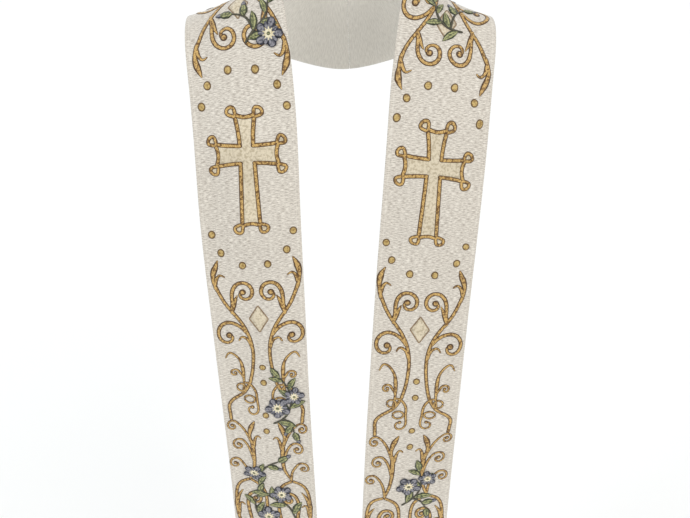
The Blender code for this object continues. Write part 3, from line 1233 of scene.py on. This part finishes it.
PETAL_COUNT = 5
OVER_SCROLLS = 0.8  # sprays lie on top of the scrolls
OVER_LEAVES = 1.5  # and flowers on top of the leaves
SPRAY_SINK = 1.6  # how far a spray's walls reach down
INNER_REACH, TOOTH_REACH = 0.74, 0.43  # shares of a flower's size
HEART_SHARE, EYE_SHARE = 0.3, 0.12
PETAL_SHAPE = ((0, 1.6), (0.3, 4.2), (0.6, 6.2), (0.82, 5.4), (1, 2.2))
INNER_PETAL = ((0, 1.2), (0.4, 3.3), (0.75, 3.0), (1, 0.9))
TOOTH_SHAPE = ((0, 1.1), (0.7, 1.0), (1, 0.4))
LEAF_SHAPE = ((0, 0.8), (0.2, 3.4), (0.45, 5.0), (0.75, 3.4), (1, 0.4))
BUD_SHAPE = ((0, 1.2), (0.3, 4.8), (0.65, 4.8), (1, 2.4))
BUD_TIP = ((0, 2.6), (0.5, 3.0), (1, 0.9))
TWIG_SHAPE = ((0, 1.7), (0.7, 1.5), (1, 1.1))
LEAF_ANGLE = 46  # between a leaf and its sprig
BUD_LEANS = ((1.0, 12), (0.55, -58))  # share of the twig's length, degrees off its way


def scaled(profile, factor):
    return tuple((share, half * factor) for share, half in profile)


def radial(x, y, turn, start, end, bend=0.0):
    """A slightly bent line that leaves a point."""
    middle = ((start + end) / 2, bend)
    return flow(turned(((start, 0), middle, (end, 0)), x, y, turn), 1.3)


def heading(line, index):
    """Which way a line runs at one of its places, in degrees."""
    step = line[min(index + 1, len(line) - 1)] - line[max(index - 1, 0)]
    return np.degrees(np.arctan2(step[1], step[0]))


def add_bloom(parts, bloom):
    """A flower: two rings of petals round a toothed heart."""
    x, y, size = bloom.x, bloom.y, bloom.size
    for i in range(PETAL_COUNT):
        turn = bloom.turn + 360 * i / PETAL_COUNT
        outer = radial(x, y, turn, 0.2 * size, size * (1.0, 0.9, 0.96)[i % 3], 0.8)
        ribbon(parts["petals"], outer, scaled(PETAL_SHAPE, size / 20), OVER_LEAVES + 0.1 * (i % 2))
        inner = radial(x, y, turn + 180 / PETAL_COUNT, 0.2 * size, INNER_REACH * size)
        ribbon(parts["petals"], inner, scaled(INNER_PETAL, size / 20), OVER_LEAVES + 0.3)
        for part in (0.25, 0.75):
            way = turn + 360 * part / PETAL_COUNT
            tooth = radial(x, y, way, 0.15 * size, TOOTH_REACH * size)
            ribbon(parts["hearts"], tooth, scaled(TOOTH_SHAPE, size / 20), OVER_LEAVES + 0.6)
    dome(parts["hearts"], x, y, HEART_SHARE * size, 0.6, OVER_LEAVES + 0.6)
    dome(parts["leaves"], x, y, EYE_SHARE * size, 0.3, OVER_LEAVES + 1.15)


def add_sprig(parts, sprig):
    """A bent stem with leaves that leave it by turns, and one at its tip."""
    stalk = flow(sprig.line)
    ribbon(parts["twigs"], stalk, TWIG_SHAPE, OVER_SCROLLS)
    for i in range(sprig.leaves):
        share = (i + 0.5) / sprig.leaves
        index = round(share * (len(stalk) - 1))
        way = 1 if i % 2 else -1
        turn = heading(stalk, index) + way * LEAF_ANGLE
        reach = sprig.length * (1.06 - 0.3 * share)
        leaf = radial(*stalk[index], turn, 1.0, reach, -1.6 * way)
        ribbon(parts["leaves"], leaf, scaled(LEAF_SHAPE, reach / 22), OVER_SCROLLS + 0.14 * (i % 3))
    tip = radial(*stalk[-1], heading(stalk, len(stalk) - 1), 0.5, 0.85 * sprig.length, 1.0)
    ribbon(parts["leaves"], tip, scaled(LEAF_SHAPE, sprig.length / 24), OVER_SCROLLS + 0.3)


def add_buds(parts, buds):
    """Two closed buds at the end of a thin twig, with the petals' colour at their tips."""
    twig = flow(buds.line)
    ribbon(parts["twigs"], twig, TWIG_SHAPE, OVER_SCROLLS)
    for share, lean in BUD_LEANS:
        index = min(round(share * len(twig)), len(twig) - 1)
        x, y = twig[index]
        turn = heading(twig, index) + lean
        tip = radial(x, y, turn, 0.6 * buds.length, buds.length)
        ribbon(parts["petals"], tip, scaled(BUD_TIP, buds.length / 20), OVER_SCROLLS)
        cup = radial(x, y, turn, 0.0, 0.74 * buds.length)
        ribbon(parts["leaves"], cup, scaled(BUD_SHAPE, buds.length / 20), OVER_SCROLLS + 0.15)


DRAW = {Bloom: add_bloom, Sprig: add_sprig, Buds: add_buds}
print("a flower has", 2 * PETAL_COUNT, "petals")

# %% Where the sprays lie
SPRAYS = {
    RIGHT: (
        Sprig(((-8, 306), (-20, 290), (-36, 276), (-44, 254)), 5, 26),
        Buds(((-20, 290), (-10, 272), (8, 264)), 24),
        Bloom(-40, 296, 30, 20),
        Sprig(((-12, 886), (-28, 876), (-40, 852), (-38, 822), (-26, 800)), 6, 29),
        Buds(((-28, 876), (-40, 888), (-44, 902)), 23),
        Bloom(-20, 856, 10, 21),
        Bloom(-46, 834, 40, 17),
        Sprig(((-36, 1092), (-24, 1064), (2, 1046), (20, 1022), (16, 992)), 6, 30),
        Sprig(((24, 1090), (30, 1064), (22, 1040)), 3, 28),
        Buds(((16, 992), (2, 972), (-16, 962)), 26),
        Bloom(26, 994, 24, 21),
        Bloom(-16, 1040, 0, 19),
        Bloom(8, 1086, 52, 21),
        Sprig(((-10, 1262), (8, 1244), (14, 1216), (4, 1196)), 5, 24),
        Bloom(16, 1236, 12, 19),
        Sprig(((-20, 180), (-6, 160), (-2, 134)), 4, 22),
        Bloom(-8, 146, 0, 18),
    ),
    LEFT: (
        Sprig(((24, 262), (6, 258), (-12, 242), (-18, 218)), 5, 26),
        Buds(((6, 258), (12, 236), (26, 224)), 24),
        Sprig(((-6, 1030), (12, 1018), (24, 992), (20, 960)), 5, 30),
        Buds(((12, 1018), (26, 1026), (34, 1040)), 24),
        Bloom(4, 990, 18, 21),
        Bloom(34, 976, 40, 16),
        Sprig(((12, 1264), (-6, 1246), (-14, 1216), (-6, 1196)), 5, 24),
        Bloom(-18, 1236, 30, 19),
        Sprig(((22, 182), (8, 162), (4, 136)), 4, 22),
        Bloom(10, 148, 24, 18),
    ),
}
for side, spray in SPRAYS.items():
    parts = {kind: new_stitching() for kind in ("petals", "leaves", "hearts", "twigs")}
    for row in spray:
        DRAW[type(row)](parts, row)
    stitched_piece("leaves", parts["leaves"], side, LEAF, SPRAY_SINK)
    stitched_piece("twigs", parts["twigs"], side, TWIG, SPRAY_SINK)
    stitched_piece("petals", parts["petals"], side, PETAL, SPRAY_SINK)
    stitched_piece("flower_hearts", parts["hearts"], side, HEART, SPRAY_SINK)
    print("side", SIDE_NAMES[side], sum(type(row) is Bloom for row in spray), "flowers")

# %% [markdown]
# ## The seam behind the neck
#
# The two halves are joined behind the neck, out of sight. Small slanting hand stitches in
# cream thread close such a seam. Each is a short ribbon from one half to the other, on
# the face of the cloth. The pattern's drift starts at zero here and hardly moves them.

# %% Seam stitches
STITCH_COUNT = 34
STITCH_REACH = 1.5  # how far a stitch goes to each side of the seam
STITCH_LEAN = 0.6
STITCH_THREAD = ((0, 0.4), (1, 0.4))
STITCH_CROWN = 1.2

seam_bm = new_stitching()
for aside in np.linspace(4 - HALF_WIDTH, HALF_WIDTH - 4, STITCH_COUNT):
    ends = [(aside - STITCH_LEAN, -STITCH_REACH), (aside + STITCH_LEAN, STITCH_REACH)]
    ribbon(seam_bm, flow(ends, 0.6), STITCH_THREAD, crown=STITCH_CROWN)
stitched_piece("seam_stitches", seam_bm, LEFT, CREAM_FILL)
print("seam:", STITCH_COUNT, "stitches")

# %% [markdown]
# ## The cut of each side
#
# Someone who simulates this stole needs its cut, not its worn shape: two strips, each
# 140 mm by 1380 mm, draped round the neck. Each side's stitching is counted with its cloth.

for side in (LEFT, RIGHT):
    print(cloths[side].name, "with", len(stitched[side]), "kinds of stitching")

# %% [markdown]
# ## Floor, light and camera
#
# The stole keeps its worn shape above a plain pale floor, which is large enough to fill
# the camera's view to the top. The light is soft, because each lamp is a wide disc in the
# sky. The strongest one is a little warm and stands ahead on the camera's right, so the
# cloth on that side is slightly brighter. A cooler one stands further round on the left,
# and a weak one behind. The sky looks brighter to the camera than it is as a light, or a
# grey band would show above the floor in level views. The view transform is Standard,
# because the default one greys a white ground that should stay near white.

# %% Floor
FLOOR_COLOUR = (0.9, 0.9, 0.89, 1)
FLOOR_SIZE = 60.0  # metres
FLOOR_DROP = 0.3  # below the lower hem

bm = bmesh.new()
bmesh.ops.create_grid(bm, x_segments=4, y_segments=4, size=FLOOR_SIZE / 2)
floor_level = solid_low[2] - FLOOR_DROP
bmesh.ops.translate(bm, verts=bm.verts, vec=(0, 0, floor_level))
floor_mesh = bpy.data.meshes.new("floor")
bm.to_mesh(floor_mesh)
bm.free()
floor = bpy.data.objects.new("floor", floor_mesh)
bpy.context.scene.collection.objects.link(floor)
floor_finish = bpy.data.materials.new("pale_floor")
floor_finish.use_nodes = True
floor_shader = floor_finish.node_tree.nodes["Principled BSDF"]
floor_shader.inputs["Base Color"].default_value = FLOOR_COLOUR
floor_shader.inputs["Roughness"].default_value = 0.95
floor_mesh.materials.append(floor_finish)
print("floor at", round(floor_level, 3), "m")

# %% Light
SKY = (0.97, 0.985, 1.0, 1)
SKY_STRENGTH = 0.63  # as light on the stole
SKY_SEEN = 1.0  # as the camera sees it, so that no dark horizon shows
Lamp = namedtuple("Lamp", "name heading height spread strength colour")
LAMPS = (  # heading: degrees round from straight ahead of the stole, to the camera's left
    Lamp("cool_left", 62, 38, 35, 0.95, (0.88, 0.945, 1.0)),
    Lamp("warm_right", -46, 34, 45, 1.3, (1.0, 0.97, 0.92)),
    Lamp("behind", 160, 40, 60, 0.6, (1.0, 1.0, 1.0)),
)

world = bpy.data.worlds.new("studio")
world.use_nodes = True
background = world.node_tree.nodes["Background"]
background.inputs["Color"].default_value = SKY
seen = add_node(world.node_tree, "LightPath").outputs["Is Camera Ray"]
sky = maths(world.node_tree, "MULTIPLY_ADD", seen, SKY_SEEN - SKY_STRENGTH, SKY_STRENGTH)
world.node_tree.links.new(sky, background.inputs["Strength"])
bpy.context.scene.world = world
for lamp in LAMPS:
    light = bpy.data.lights.new(lamp.name, "SUN")
    light.angle = np.radians(lamp.spread)
    light.energy = lamp.strength
    light.color = lamp.colour
    heading, height = np.radians(lamp.heading), np.radians(lamp.height)
    towards = Vector((-np.sin(heading), -np.cos(heading), 0)) * np.cos(height)
    towards.z = np.sin(height)
    holder = bpy.data.objects.new(lamp.name, light)
    holder.rotation_euler = (-towards).to_track_quat("-Z", "Y").to_euler()
    bpy.context.scene.collection.objects.link(holder)
bpy.context.scene.view_settings.view_transform = "Standard"
print(len(LAMPS), "soft lamps and a pale sky")

# %% Camera
CAMERA_PLACE = (0.004, -1.211, 0.194)
CAMERA_TILT = 64.0  # degrees up from straight down
LENS = 45.0

camera_data = bpy.data.cameras.new("camera")
camera_data.lens = LENS
camera = bpy.data.objects.new("camera", camera_data)
camera.location = CAMERA_PLACE
camera.rotation_euler = (np.radians(CAMERA_TILT), 0, 0)
bpy.context.scene.collection.objects.link(camera)
bpy.context.scene.camera = camera
print("camera looks", 90 - CAMERA_TILT, "degrees down")
